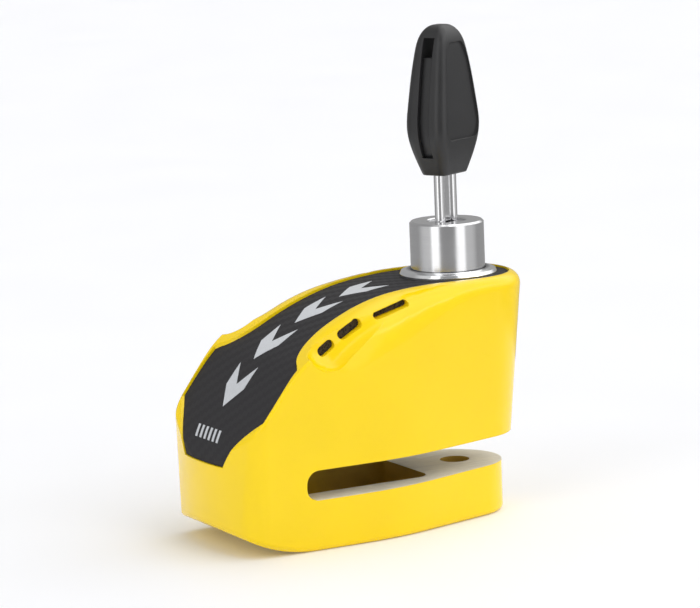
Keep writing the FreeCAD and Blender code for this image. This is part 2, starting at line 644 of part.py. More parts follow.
# --- Plunger ------------------------------------------------------------------------------
def plunger_sleeve():
    """Barrel: a thick steel tube with a web near its foot."""
    points = [(SPRING_SEAT_R, SLEEVE_LOW), (SLEEVE_R - 0.5, SLEEVE_LOW), (SLEEVE_R, SLEEVE_LOW + 0.5),
              (SLEEVE_R, SLEEVE_TOP - 0.45), (SLEEVE_R - 0.45, SLEEVE_TOP),
              (FACE_R + 0.3, SLEEVE_TOP), (FACE_R + 0.05, SLEEVE_TOP - 0.25), (FACE_R + 0.05, LIP_Z),
              (CORE_R, LIP_Z), (CORE_R, WEB_HIGH), (PIN_R, WEB_HIGH), (PIN_R, WEB_LOW),
              (SPRING_SEAT_R, WEB_LOW)]
    sleeve = turned(points)
    window = box((AXIS_X, AXIS_X + 10), (-LATCH_HALF_Y - 0.05, LATCH_HALF_Y + 0.05),
                 (LATCH_LOW - 0.05, LATCH_HIGH + 0.05))
    groove_low = GUIDE_Z - GUIDE_TIP_R - 0.1
    groove_high = GUIDE_Z + TRAVEL + GUIDE_TIP_R + 0.1
    groove = box((AXIS_X - 10, AXIS_X - SLEEVE_R + 1.6), (-GUIDE_TIP_R - 0.08, GUIDE_TIP_R + 0.08),
                 (groove_low, groove_high))
    clip = tube(CLIP_R + 0.05, CORE_R - 1, CLIP_LOW - 0.05, CLIP_HIGH + 0.05)
    cross = Part.makeCylinder(CROSS_R, 40, Vector(AXIS_X, -20, CROSS_Z), Vector(0, 1, 0))
    return sleeve.cut([window, groove, clip, cross, magnet(0.0)])


def magnet(gap):
    start = Vector(AXIS_X - SLEEVE_R + 0.15, 0, MAGNET_Z)
    if gap == 0.0:
        start.x -= 1.0
    end_x = AXIS_X - SLEEVE_R + 1.6 - gap
    return Part.makeCylinder(MAGNET_R - gap, end_x - start.x, start, Vector(1, 0, 0))


def plunger_magnet():
    return magnet(0.02)


def locking_pin():
    """Hardened pin: headed above the web, round nose at the tip."""
    points = [(0, PIN_TIP), (PIN_R - 1.0, PIN_TIP), (PIN_R, PIN_TIP + 1.0), (PIN_R, WEB_HIGH),
              (0, WEB_HIGH)]
    pin = turned(points)
    return pin.cut(Part.makeCylinder(CROSS_R, 40, Vector(AXIS_X, -20, CROSS_Z), Vector(0, 1, 0)))


def pin_cross_pin():
    pin = Part.makeCylinder(CROSS_R, 40, Vector(AXIS_X, -20, CROSS_Z), Vector(0, 1, 0))
    return pin.common(cyl(SLEEVE_R - 0.2, CROSS_Z - 3, CROSS_Z + 3))


def plug_clip():
    """Open retaining ring under the plug."""
    ring = tube(CLIP_R, CLIP_R - 1.5, CLIP_LOW, CLIP_HIGH)
    gap = box((AXIS_X - 10, AXIS_X), (-1.6, 1.6), (CLIP_LOW - 1, CLIP_HIGH + 1))
    return ring.cut(gap)


def return_spring():
    """Coil spring of square wire between the bore's floor and the sleeve's web."""
    height = WEB_LOW - BORE_FLOOR - 2 * SPRING_WIRE - 0.2
    start = BORE_FLOOR + SPRING_WIRE + 0.1
    pitch = height / SPRING_TURNS
    helix = Part.makeHelix(pitch, height, SPRING_R)
    helix.translate(Vector(AXIS_X, 0, start))
    middle = Vector(AXIS_X + SPRING_R, 0, start)
    corners = [middle + Vector(a * SPRING_WIRE, 0, b * SPRING_WIRE)
               for a, b in ((-1, -1), (1, -1), (1, 1), (-1, 1), (-1, -1))]
    return Part.Wire(helix.Edges).makePipeShell([Part.makePolygon(corners)], True, True)


def latch_bolt():
    bolt = box((AXIS_X - 3.6, AXIS_X + 10), (-LATCH_HALF_Y, LATCH_HALF_Y), (LATCH_LOW, LATCH_HIGH))
    bolt = bolt.common(cyl(SLEEVE_R - 0.15, LATCH_LOW - 1, LATCH_HIGH + 1))
    half = CAM_PIN_R + 0.12
    cam_x = AXIS_X - LATCH_THROW / 2
    slot = box((cam_x - half, cam_x + half), (-5, -0.1), (LATCH_LOW - 1, LATCH_HIGH + 1))
    return bolt.cut(slot)


# --- Plug ---------------------------------------------------------------------------------
def stadium(half, radius, low, high):
    """Upright slot with round ends, along the key's wide direction."""
    block = box((-half, half), (-radius, radius), (low, high))
    ends = [Part.makeCylinder(radius, high - low, Vector(s * half, 0, low)) for s in (-1, 1)]
    return to_key(block.fuse(ends).removeSplitter())


def to_key(shape):
    """Place a shape made round the origin on the key's axis and turn."""
    shape.rotate(Vector(0, 0, 0), UP, KEY_TURN)
    shape.translate(Vector(AXIS_X, 0, 0))
    return shape


def plug_rotor():
    rotor = tube(CORE_R - 0.05, DISC_R + 0.05, DISC_LOW, LIP_Z - 0.1)
    rotor = rotor.fuse(cyl(CORE_R - 0.05, PLUG_LOW, DISC_LOW)).removeSplitter()
    slot = to_key(box((-0.6, 0.6), (-8, -4), (DISC_LOW + 0.6, LIP_Z - 2.0)))
    return rotor.cut([slot, cam_pin()])


def cam_pin():
    """Eccentric pin under the plug that drives the latch bolt."""
    return cyl(CAM_PIN_R, LATCH_LOW + 0.3, PLUG_LOW + 1.2, AXIS_X - LATCH_THROW / 2, -LATCH_THROW / 2)


def sidebar():
    bar = to_key(box((-0.55, 0.55), (-8, -DISC_R - 0.08), (DISC_LOW + 0.7, LIP_Z - 2.1)))
    return bar.common(cyl(CORE_R - 0.1, DISC_LOW, LIP_Z))


def disc_heights():
    return [DISC_LOW + 0.05 + k * (DISC_T + SPACER_T) for k in range(DISC_COUNT)]


def detainer_discs():
    discs = []
    for low in disc_heights():
        hole = stadium(LOBE_AT, LOBE_R + 0.08, low - 1, low + DISC_T + 1)
        discs.append(cyl(DISC_R, low, low + DISC_T).cut(hole))
    return Part.makeCompound(discs)


def disc_spacers():
    return Part.makeCompound([tube(DISC_R, LOBE_AT + LOBE_R + 0.15, low + DISC_T,
                                   low + DISC_T + SPACER_T) for low in disc_heights()])


def face_disc():
    """Dust and drill shield at the keyhole."""
    low = disc_heights()[-1] + DISC_T + SPACER_T
    points = [(0, low), (DISC_R, low), (DISC_R, LIP_Z - 0.15), (FACE_R, LIP_Z - 0.15),
              (FACE_R, SLEEVE_TOP - 0.35), (0, SLEEVE_TOP - 0.35)]
    return turned(points).cut(stadium(LOBE_AT, LOBE_R + 0.2, low - 1, 80))


# --- Key ----------------------------------------------------------------------------------
def handle_section(z, width, thick):
    radius = HANDLE_CORNER * thick
    x, y = width / 2, thick / 2
    edges = []
    for k, (sx, sy) in enumerate(((1, 1), (-1, 1), (-1, -1), (1, -1))):
        turn = math.pi / 2 * k
        centre = Vector(sx * (x - radius), sy * (y - radius), z)
        ends = [centre + Vector(radius * math.cos(turn + a), radius * math.sin(turn + a), 0)
                for a in (0, math.pi / 4, math.pi / 2)]
        edges.append(Part.Arc(*ends).toShape())
    lines = [Part.makeLine(a.Vertexes[-1].Point, b.Vertexes[0].Point)
             for a, b in zip(edges, edges[1:] + edges[:1])]
    ring = [e for pair in zip(edges, lines) for e in pair]
    return Part.Wire(ring)


def handle_form():
    form = Part.makeLoft([handle_section(*row) for row in HANDLE_SECTIONS], True, False)
    foot = [e for e in form.Edges if max(v.Point.z for v in e.Vertexes) < HANDLE_LOW + 0.01]
    return form.makeFillet(FOOT_EDGE_R, foot)


def key_handle():
    form = handle_form()
    pad = list(THUMB_PAD) + [(-x, z) for x, z in reversed(THUMB_PAD)]
    outline = prism_y(pad, 20)
    outline = outline.makeFillet(PAD_CORNER_R, [e for e in outline.Edges
                                                if abs(e.tangentAt(e.FirstParameter).y) > 0.9])
    cuts = []
    for side in (-1, 1):
        under = moved(form, (0, -side * PAD_DEPTH, 0))
        half = box((-20, 20), (0, 20) if side > 0 else (-20, 0), (80, 120))
        cuts.append(outline.common(form).common(half).cut(under))
    cuts.append(box((-20, 20), (-GROOVE_HALF, GROOVE_HALF), GROOVE_Z))
    cuts.append(blade_form(HANDLE_LOW - 1, BLADE_HIGH))
    for cut in cuts:
        form = form.cut(cut)
    return to_key(max(form.Solids, key=lambda s: s.Volume))


def key_core():
    """Stiff insert moulded into the handle; it shows in the grooves of the narrow sides."""
    form = handle_form()
    slab = box((-20, 20), (-GROOVE_HALF, GROOVE_HALF), (GROOVE_Z[0], CORE_TOP))
    slab = slab.common(moved(form, (CORE_SINK, 0, 0))).common(moved(form, (-CORE_SINK, 0, 0)))
    return to_key(slab.cut(blade_form(HANDLE_LOW, BLADE_HIGH)))


def blade_form(low, high):
    lobes = [Part.makeCylinder(LOBE_R, high - low, Vector(s * LOBE_AT, 0, low)) for s in (-1, 1)]
    web = box((-LOBE_AT, LOBE_AT), (-WEB_HALF, WEB_HALF), (low, high))
    return web.fuse(lobes).removeSplitter()


def key_blade():
    """Two-lobed steel blade with the disc cuts on its hidden length."""
    blade = blade_form(KEY_TIP, BLADE_HIGH)
    cuts = []
    for k, low in enumerate(disc_heights()):
        depth = 0.25 + 0.2 * ((3 * k) % 4)
        side = 1 if k % 2 else -1
        x = side * (LOBE_AT + LOBE_R)
        span = (x - depth, x + 1) if side > 0 else (x - 1, x + depth)
        cuts.append(box(span, (-2, 2), (low, low + DISC_T)))
    return to_key(blade.cut(cuts))


UPPER = upper_form()
LOWER = lower_form()

NODES = (
    lock_body, top_cover, trim_ring, bore_seal, pin_bush, guide_screw, hatch_plate, hatch_gasket,
    hatch_screws, alarm_board, board_components, board_screws, motion_sensor, reed_switch,
    siren_cup, siren_disc, vent_screens, battery, battery_clips, battery_tray, led_lens, return_spring,
    plunger_sleeve, locking_pin, pin_cross_pin, plunger_magnet, plug_clip, latch_bolt,
    plug_rotor, cam_pin, sidebar, detainer_discs, disc_spacers, face_disc,
    key_blade, key_core, key_handle,
)


def main():
    os.makedirs("parts", exist_ok=True)
    for make in NODES:
        shape = make()
        print(make.__name__, shape.isValid(), len(shape.Solids), round(shape.Volume, 1))
        shape.exportStep("parts/" + make.__name__ + ".step")


main()
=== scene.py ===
import json
import math

import bmesh
import bpy
from mathutils import Matrix, Vector
from mathutils.bvhtree import BVHTree


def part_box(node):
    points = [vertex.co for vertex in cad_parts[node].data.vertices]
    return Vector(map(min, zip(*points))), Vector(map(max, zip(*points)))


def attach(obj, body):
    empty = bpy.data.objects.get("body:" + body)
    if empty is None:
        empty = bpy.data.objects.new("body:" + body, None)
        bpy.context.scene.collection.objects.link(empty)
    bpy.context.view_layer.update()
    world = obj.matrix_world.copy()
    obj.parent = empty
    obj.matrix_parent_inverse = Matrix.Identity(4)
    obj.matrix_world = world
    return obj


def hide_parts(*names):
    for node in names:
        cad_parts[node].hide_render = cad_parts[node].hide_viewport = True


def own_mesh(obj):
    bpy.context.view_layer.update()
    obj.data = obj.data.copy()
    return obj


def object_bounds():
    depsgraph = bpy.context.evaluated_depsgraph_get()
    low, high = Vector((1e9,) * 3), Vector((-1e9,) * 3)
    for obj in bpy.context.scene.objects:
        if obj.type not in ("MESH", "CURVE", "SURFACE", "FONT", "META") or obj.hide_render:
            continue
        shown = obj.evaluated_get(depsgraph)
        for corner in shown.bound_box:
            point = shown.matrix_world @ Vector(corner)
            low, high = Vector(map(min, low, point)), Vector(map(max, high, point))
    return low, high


# Motorcycle disc brake lock: glossy painted body, black cover with a woven print, satin steel
# barrel and a black key.  Metres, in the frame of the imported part: +Z up, nose towards -X.

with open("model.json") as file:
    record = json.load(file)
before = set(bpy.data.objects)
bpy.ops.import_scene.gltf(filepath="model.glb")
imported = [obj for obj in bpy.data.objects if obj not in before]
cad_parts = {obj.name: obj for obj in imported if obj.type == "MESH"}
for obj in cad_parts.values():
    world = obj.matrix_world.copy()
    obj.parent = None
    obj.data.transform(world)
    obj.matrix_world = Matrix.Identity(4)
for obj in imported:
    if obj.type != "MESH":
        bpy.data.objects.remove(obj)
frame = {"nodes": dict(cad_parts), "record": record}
CAD_LOW, CAD_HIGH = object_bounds()
CAD_MIDDLE = (CAD_LOW + CAD_HIGH) / 2
NODES = frame["nodes"]
MM = 0.001

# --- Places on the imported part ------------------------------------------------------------
SLOT_LOW = 12.0 * MM          # floor and ceiling of the disc slot
SLOT_HIGH = 19.0 * MM
SLOT_END = -24.8 * MM         # its closed end, and the radius of the corners there
SLOT_END_R = 3.0 * MM
POCKET_END = 11.5 * MM        # pocket in the lower jaw, from the slot's closed end to here
POCKET_HALF = 12.6 * MM
POCKET_FLOOR = 3.0 * MM
PIN_X = 25.2 * MM             # axis of the barrel and of the pin's hole in the lower jaw
PIN_HOLE_R = 3.5 * MM
RING_DARK_R = 9.1 * MM        # painted reflection: the trim ring is painted dark out to here, for the gap round the barrel that it mirrors
RING_BRIGHT_R = 10.2 * MM     # and is all bright from here on

# --- Camera -------------------------------------------------------------------------------
CAMERA_AZIMUTH = math.radians(28.0)      # from -Y towards -X
CAMERA_ELEVATION = math.radians(9.33)
CAMERA_ROLL = math.radians(2.23)
CAMERA_DISTANCE = 0.8256
CAMERA_LENS = 183.1
SENSOR_WIDTH = 36.0
AIM_OFFSET = Vector((-1.5, 0.0, -5.4)) * MM    # aim point, from the middle of the CAD box


# --- Shader nodes -------------------------------------------------------------------------
class Nodes:
    """Adds nodes to one shader tree."""

    def __init__(self, tree):
        self.tree = tree

    def add(self, kind, **settings):
        node = self.tree.nodes.new("ShaderNode" + kind)
        for key, value in settings.items():
            setattr(node, key, value)
        return node

    def feed(self, socket, value):
        """Link a socket to another one, or set its value."""
        if isinstance(value, bpy.types.NodeSocket):
            self.tree.links.new(value, socket)
        else:
            socket.default_value = value

    def math(self, operation, a, b=0.0):
        node = self.add("Math", operation=operation)
        self.feed(node.inputs[0], a)
        self.feed(node.inputs[1], b)
        return node.outputs[0]

    def vector(self, operation, a, b=(0, 0, 0)):
        node = self.add("VectorMath", operation=operation)
        self.feed(node.inputs[0], a)
        self.feed(node.inputs[1], b)
        return node.outputs["Value" if operation == "DOT_PRODUCT" else "Vector"]

    def span(self, value, low, high, to_low=0.0, to_high=1.0, smooth=True):
        """Map a value's range low to high onto another range."""
        node = self.add("MapRange", interpolation_type="SMOOTHSTEP" if smooth else "LINEAR")
        for name, number in (("Value", value), ("From Min", low), ("From Max", high),
                             ("To Min", to_low), ("To Max", to_high)):
            self.feed(node.inputs[name], number)
        return node.outputs["Result"]


NOISE_LOW = 0.3               # most of a noise lies between these values
NOISE_HIGH = 0.7


class Graph(Nodes):
    """A material's nodes round one Principled shader."""

    def __init__(self, name, color, roughness, metallic=0.0, **sockets):
        self.material = bpy.data.materials.new(name)
        self.material.use_nodes = True
        super().__init__(self.material.node_tree)
        self.shader = self.tree.nodes["Principled BSDF"]
        self.set("Base Color", (*color, 1.0))
        self.set("Roughness", roughness)
        self.set("Metallic", metallic)
        for key, value in sockets.items():
            self.set(key.replace("_", " "), value)
        self.coords = self.add("TexCoord").outputs["Object"]

    def set(self, socket, value):
        self.shader.inputs[socket].default_value = value

    def place(self, scale=(1, 1, 1)):
        """Object coordinates in metres, times a scale on each axis."""
        return self.vector("MULTIPLY", self.coords, scale)

    def axis(self, index):
        node = self.add("SeparateXYZ")
        self.feed(node.inputs[0], self.place())
        return node.outputs[index]

    def noise(self, size, detail=2.0, stretch=(1, 1, 1), rough=0.5):
        """Noise with features of about that size in metres."""
        node = self.add("TexNoise")
        self.feed(node.inputs["Vector"], self.place([s / size for s in stretch]))
        for name, number in (("Scale", 1.0), ("Detail", detail), ("Roughness", rough)):
            self.feed(node.inputs[name], number)
        return node.outputs["Fac"]

    def mix(self, share, a, b):
        node = self.add("Mix", data_type="RGBA")
        for socket, value in ((node.inputs[0], share), (node.inputs[6], a), (node.inputs[7], b)):
            self.feed(socket, (*value, 1.0) if isinstance(value, tuple) else value)
        return node.outputs[2]

    def color(self, share, a, b):
        """Base colour from one colour to another."""
        self.feed(self.shader.inputs["Base Color"], self.mix(share, a, b))

    def tint(self, pattern, a, b, low=NOISE_LOW, high=NOISE_HIGH):
        """Base colour that follows a pattern."""
        self.color(self.span(pattern, low, high), a, b)

    def gloss(self, pattern, smooth, rough, high=NOISE_HIGH):
        """Roughness that follows a pattern."""
        value = self.span(pattern, NOISE_LOW, high, smooth, rough)
        self.feed(self.shader.inputs["Roughness"], value)

    def relief(self, height, depth, edge=None):
        """Bump of that depth, over soft edges of that radius."""
        node = self.add("Bump")
        self.feed(node.inputs["Height"], height)
        self.feed(node.inputs["Strength"], 1.0)
        self.feed(node.inputs["Distance"], depth)
        if edge is not None:
            soft = self.add("Bevel", samples=6)
            self.feed(soft.inputs["Radius"], edge)
            self.feed(node.inputs["Normal"], soft.outputs[0])
        self.feed(self.shader.inputs["Normal"], node.outputs[0])


def shade(color, share):
    return tuple(c * share for c in color)


# --- Materials ----------------------------------------------------------------------------
# Grain sizes, depths and edge radii are in metres.
CAST_EDGE = 0.00035
MOULDED_EDGE = 0.0003
TURNED_EDGE = 0.00015
FINE_EDGE = 0.00012
MARKS = 0.00012               # grain across the marks of a tool
MARKS_ROUGH = 0.7
METAL_GRAIN = 0.0006
PLASTIC_GRAIN = 0.0003
TOW = 0.0011                  # width of one tow of the woven print
TWILL_REPEAT = 4.0            # the warp is on top in two cells of every four
TWILL_LIMIT = 1.5


def paint():
    """Gloss paint over die-cast metal: a little orange peel, soft edges, a trace of dust."""
    yellow = (0.955, 0.672, 0.003)
    g = Graph("yellow_paint", yellow, 0.14, Specular_IOR_Level=0.36)
    g.tint(g.noise(0.022, 3.0), shade(yellow, 0.965), yellow)
    g.gloss(g.noise(0.004, 3.0), 0.12, 0.17)
    g.relief(g.noise(0.0013), 0.0000035, CAST_EDGE)
    return g.material


def slot_painted_reflection():
    """Floor and ceiling of the disc slot: a pale grey-beige that is a painted reflection of the
    white backdrop in the shaded gloss paint, with fine straight scratches and a dull bloom.
    """
    # painted reflection: the pale grey-beige stands in for the white backdrop mirrored in the
    # shaded paint
    grey = (0.82, 0.77, 0.64)
    g = Graph("slot_painted_reflection", grey, 0.5, 0.1)
    lines = g.noise(0.0006, 3.0, stretch=(0.03, 1.0, 1.0), rough=MARKS_ROUGH)
    bloom = g.noise(0.005, 4.0)
    tone = g.mix(g.span(lines, 0.3, 0.75), shade(grey, 0.84), shade(grey, 1.08))
    g.tint(bloom, tone, (0.84, 0.79, 0.66), 0.42, 0.68)
    g.gloss(bloom, 0.42, 0.62)
    g.relief(lines, 0.00002, CAST_EDGE)
    return g.material


def pocket_painted_shade():
    """End of the slot and hollows of the lower jaw, in painted shade: yellow that darkens to brown
    towards the mouth, with random darker blotches.
    """
    light = (0.93, 0.66, 0.01)
    g = Graph("pocket_painted_shade", light, 0.6, Specular_IOR_Level=0.3)
    # painted shade: the yellow darkens to brown along X, towards the mouth
    tone = g.mix(g.span(g.axis(0), -0.020, 0.004), light, (0.52, 0.34, 0.05))
    # random darker blotches over the painted shade
    g.color(g.span(g.noise(0.004, 3.0), 0.35, 0.7, 0.0, 0.3), tone, (0.42, 0.27, 0.04))
    g.relief(g.noise(0.0008, 3.0), 0.00004, CAST_EDGE)
    return g.material


def woven_cover():
    """Satin moulding with a printed 2-by-2 twill, like carbon cloth, that fades to the nose."""
    dark = (0.030, 0.029, 0.031)
    g = Graph("cover_black", dark, 0.7, Specular_IOR_Level=0.18)
    # rows are counted along a slope of 45 degrees, about that of the nose
    along = g.math("MULTIPLY", g.math("ADD", g.axis(0), g.axis(2)), math.sqrt(0.5))
    column = g.math("DIVIDE", g.axis(1), TOW)
    row = g.math("DIVIDE", along, TOW)
    cell = g.math("ADD", g.math("FLOOR", column), g.math("FLOOR", row))
    warp = g.math("LESS_THAN", g.math("FLOORED_MODULO", cell, TWILL_REPEAT), TWILL_LIMIT)
    # each tow is rounded across its width
    height = g.mix(warp, g.math("PINGPONG", row, 0.5), g.math("PINGPONG", column, 0.5))
    fade = g.span(g.axis(0), -0.034, -0.006, 0.12, 1.0)
    tone = g.mix(warp, shade(dark, 0.90), shade(dark, 1.16))
    tone = g.mix(g.math("MULTIPLY", fade, 0.85), dark, tone)
    fibre = g.noise(0.00025, stretch=(1.0, 0.2, 1.0))
    g.color(g.span(fibre, NOISE_LOW, NOISE_HIGH, 0.0, 0.25), tone, shade(dark, 1.3))
    g.feed(g.shader.inputs["Roughness"], g.span(warp, 0.0, 1.0, 0.74, 0.66, smooth=False))
    g.relief(g.math("MULTIPLY", height, fade), 0.00002, MOULDED_EDGE)
    return g.material


def printed_mark():
    """Light grey screen print on the cover."""
    grey = (0.66, 0.68, 0.71)
    g = Graph("printed_grey", grey, 0.45)
    speckle = g.noise(0.0005, 3.0)
    g.tint(speckle, shade(grey, 0.94), grey, low=0.35)
    g.relief(speckle, 0.000004)
    return g.material


def turned_metal(name, color, roughness):
    """Lathe-turned metal, with fine marks that run round the upright axis."""
    g = Graph(name, color, roughness, 1.0)
    marks = g.noise(MARKS, stretch=(0.004, 0.004, 1.0), rough=MARKS_ROUGH)
    g.tint(marks, shade(color, 0.93), color)
    g.gloss(g.noise(0.006, 3.0), roughness * 0.85, roughness * 1.2, high=0.75)
    g.relief(marks, 0.0000012, TURNED_EDGE)
    return g.material


def chrome_trim():
    """Polished ring, with a painted reflection: dark close to the barrel, where it mirrors the gap
    round it.
    """
    bright = (0.86, 0.87, 0.88)
    g = Graph("chrome", bright, 0.07, 1.0)
    x = g.math("SUBTRACT", g.axis(0), PIN_X)
    y = g.axis(1)
    radius = g.math("SQRT", g.math("ADD", g.math("MULTIPLY", x, x), g.math("MULTIPLY", y, y)))
    # painted reflection of the gap round the barrel: dark base colour near it, bright beyond
    g.tint(radius, (0.06, 0.06, 0.065), bright, RING_DARK_R, RING_BRIGHT_R)
    g.gloss(g.noise(0.003, 3.0), 0.06, 0.09)
    g.relief(g.noise(0.0015), 0.000003, TURNED_EDGE)
    return g.material


def blade_steel():
    """Bright steel of the key's blade, drawn lengthwise, with marks along Z."""
    bright = (0.80, 0.80, 0.81)
    g = Graph("blade_steel", bright, 0.14, 1.0)
    marks = g.noise(MARKS, stretch=(1.0, 1.0, 0.02), rough=MARKS_ROUGH)
    g.tint(marks, shade(bright, 0.9), bright)
    g.gloss(g.noise(0.003, 3.0), 0.112, 0.168)
    g.relief(marks, 0.000001, FINE_EDGE)
    return g.material


def plain_metal(name, color, roughness):
    """Metal with a fine even grain."""
    g = Graph(name, color, roughness, 1.0)
    grit = g.noise(METAL_GRAIN, 4.0)
    g.tint(grit, shade(color, 0.88), color)
    g.gloss(g.noise(METAL_GRAIN * 6, 3.0), roughness * 0.8, roughness * 1.25)
    g.relief(grit, METAL_GRAIN * 0.004, FINE_EDGE)
    return g.material


def plastic(name, color, roughness, depth=0.000006):
    """Moulded plastic with a spark-eroded grain."""
    g = Graph(name, color, roughness)
    grit = g.noise(PLASTIC_GRAIN, 3.0, rough=0.6)
    g.tint(g.noise(0.01), shade(color, 0.9), shade(color, 1.08))
    g.gloss(grit, roughness * 0.88, roughness * 1.12)
    g.relief(grit, depth, MOULDED_EDGE)
    return g.material


def shaded_vent_foam():
    """Open-cell foam behind the vents, in painted shade: brown-black like the shaded hollow behind
    them, near black in the pores.
    """
    brown = (0.050, 0.038, 0.024)
    g = Graph("vent_foam_painted_shade", brown, 0.95)
    pores = g.add("TexVoronoi", feature="F1")
    g.feed(pores.inputs["Vector"], g.place((1800, 1800, 1800)))
    g.feed(pores.inputs["Scale"], 1.0)
    depth = g.span(pores.outputs["Distance"], 0.1, 0.7)
    # painted shade: near black in the pores, dark brown between them
    g.color(depth, (0.008, 0.006, 0.004), brown)
    g.relief(depth, 0.00015)
    return g.material


def circuit_board():
    """Green solder mask over a faint net of tracks."""
    green = (0.012, 0.120, 0.045)
    g = Graph("board_green", green, 0.35, Coat_Weight=0.4)
    tracks = g.add("TexBrick", offset=0.35)
    g.feed(tracks.inputs["Vector"], g.place((400, 400, 400)))
    g.feed(tracks.inputs["Scale"], 1.0)
    g.feed(tracks.inputs["Mortar Size"], 0.06)
    lines = tracks.outputs["Fac"]
    g.color(lines, green, (0.03, 0.23, 0.08))
    g.relief(lines, 0.00003)
    return g.material


def clear_tint(name, color, roughness):
    """Tinted glass or clear plastic, with a faint haze."""
    g = Graph(name, color, roughness, Transmission_Weight=0.75, IOR=1.5)
    haze = g.noise(0.0004)
    g.tint(haze, shade(color, 0.85), color)
    g.relief(haze, 0.000004)
    return g.material


def battery_sleeve():
    """Shrink sleeve: a blue band and a silver band round the cell."""
    blue = (0.03, 0.09, 0.25)
    g = Graph("battery_wrap", blue, 0.3, Coat_Weight=0.5)
    g.tint(g.axis(0), blue, (0.55, 0.56, 0.58), -0.0052, -0.0050)
    g.relief(g.noise(0.003, 3.0), 0.00004)
    return g.material


MAKERS = {
    "painted_body": paint,
    "cover_black": woven_cover,
    "chrome_trim": chrome_trim,
    "steel": lambda: turned_metal("satin_steel", (0.74, 0.74, 0.75), 0.17),
    "hard_steel": lambda: turned_metal("ground_steel", (0.52, 0.52, 0.54), 0.24),
    "spring_steel": lambda: plain_metal("spring_steel", (0.45, 0.45, 0.47), 0.28),
    "brass": lambda: turned_metal("brass", (0.78, 0.58, 0.25), 0.25),
    "seal_rubber": lambda: plastic("seal_rubber", (0.020, 0.020, 0.021), 0.7),
    "foam": shaded_vent_foam,
    "hatch_black": lambda: plastic("hatch_black", (0.035, 0.035, 0.038), 0.55, depth=0.00002),
    "board_green": circuit_board,
    "component_black": lambda: plastic("component_black", (0.022, 0.022, 0.024), 0.5),
    "sensor_metal": lambda: plain_metal("drawn_can", (0.70, 0.70, 0.72), 0.25),
    "reed_glass": lambda: clear_tint("reed_glass", (0.65, 0.80, 0.70), 0.05),
    "lens_red": lambda: clear_tint("lens_red", (0.45, 0.012, 0.010), 0.12),
    "battery_wrap": battery_sleeve,
    "key_black": lambda: plastic("key_black", (0.018, 0.018, 0.019), 0.38, depth=0.000005),
}


def dress_frame():
    """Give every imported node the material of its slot.  The key's blade has one of its own."""
    made = {}
    for part in frame["record"]["subparts"]:
        name = part["material_slot"]
        if name not in made:
            made[name] = MAKERS[name]()
        node = NODES[part["node"]]
        node.data.materials.clear()
        node.data.materials.append(made[name])
    NODES["key_blade"].data.materials[0] = blade_steel()
    return made


NEAR = 0.03 * MM              # slack when a face is matched to a place on the part
LEVEL_Z = 0.9                 # a face whose normal rises more than this is level
END_X = 0.02                  # a face of the slot's end looks at least this much to the mouth


def in_hollow(at, normal):
    """Whether a face of the body is in the slot's end, the jaw's pocket or the pin's hole."""
    past_end = at.x > SLOT_END - NEAR
    if SLOT_LOW - NEAR < at.z < SLOT_HIGH + NEAR and normal.x > END_X:
        if past_end and at.x < SLOT_END + SLOT_END_R:
            return True
    if at.z >= SLOT_LOW - NEAR:
        return False
    in_pocket = (at.z > POCKET_FLOOR - NEAR and abs(at.y) < POCKET_HALF + NEAR
                 and past_end and at.x < POCKET_END + NEAR)
    return in_pocket or math.hypot(at.x - PIN_X, at.y) < PIN_HOLE_R + NEAR


def slot_faces_with_painted_light():
    """The disc slot's floor and ceiling get a painted reflection, and the hollows beyond a painted
    shade.
    """
    mesh = NODES["lock_body"].data
    mesh.materials.append(slot_painted_reflection())
    mesh.materials.append(pocket_painted_shade())
    for face in mesh.polygons:
        at = face.center
        by_slot = min(abs(at.z - SLOT_LOW), abs(at.z - SLOT_HIGH)) < NEAR
        # floor and ceiling of the slot: painted reflection
        if by_slot and abs(face.normal.z) > LEVEL_Z:
            face.material_index = 1
        # slot's end, jaw pocket and pin hole: painted shade
        elif in_hollow(at, face.normal):
            face.material_index = 2


# --- New pieces ---------------------------------------------------------------------------
def add_piece(name, data, material):
    """Put a mesh into the scene as a piece of its own."""
    data.materials.append(material)
    piece = bpy.data.objects.new(name, data)
    bpy.context.scene.collection.objects.link(piece)
    return piece


def solid_piece(name, mesh, material):
    """Piece from a closed mesh, with its faces turned outwards."""
    mesh.normal_update()
    bmesh.ops.recalc_face_normals(mesh, faces=mesh.faces)
    data = bpy.data.meshes.new(name)
    mesh.to_mesh(data)
    mesh.free()
    return add_piece(name, data, material)


# --- Return spring ------------------------------------------------------------------------
COIL_WIRE = 0.5 * MM          # radius of the wire
COIL_TURNS = 7.5
COIL_CLOSED = 0.75            # turns at each end that lie flat
COIL_ACTIVE = COIL_TURNS - 2 * COIL_CLOSED
CLOSED_PITCH = 2.2 * COIL_WIRE
COIL_STEPS = 40               # rings of the wire in one turn
COIL_SIDES = 10


def coil_rise(turn, length):
    """Height of the wire after that many turns of a coil, slow in the closed turns."""
    flat = COIL_CLOSED * CLOSED_PITCH
    lower = min(turn, COIL_CLOSED) / COIL_CLOSED
    upper = max(0.0, turn - COIL_CLOSED - COIL_ACTIVE) / COIL_CLOSED
    share = min(max(turn - COIL_CLOSED, 0.0), COIL_ACTIVE) / COIL_ACTIVE
    return flat * (lower + upper) + (length - 2 * flat) * share


def wire_ring(mesh, centre, turn, radius):
    """Ring of corners round the wire, after that many turns round a centre at that height."""
    out = Vector((math.cos(turn * math.tau), math.sin(turn * math.tau), 0))
    ring = []
    for side in range(COIL_SIDES):
        angle = side * math.tau / COIL_SIDES
        point = centre + out * (radius + COIL_WIRE * math.cos(angle))
        point.z += COIL_WIRE * math.sin(angle)
        ring.append(mesh.verts.new(point))
    return ring


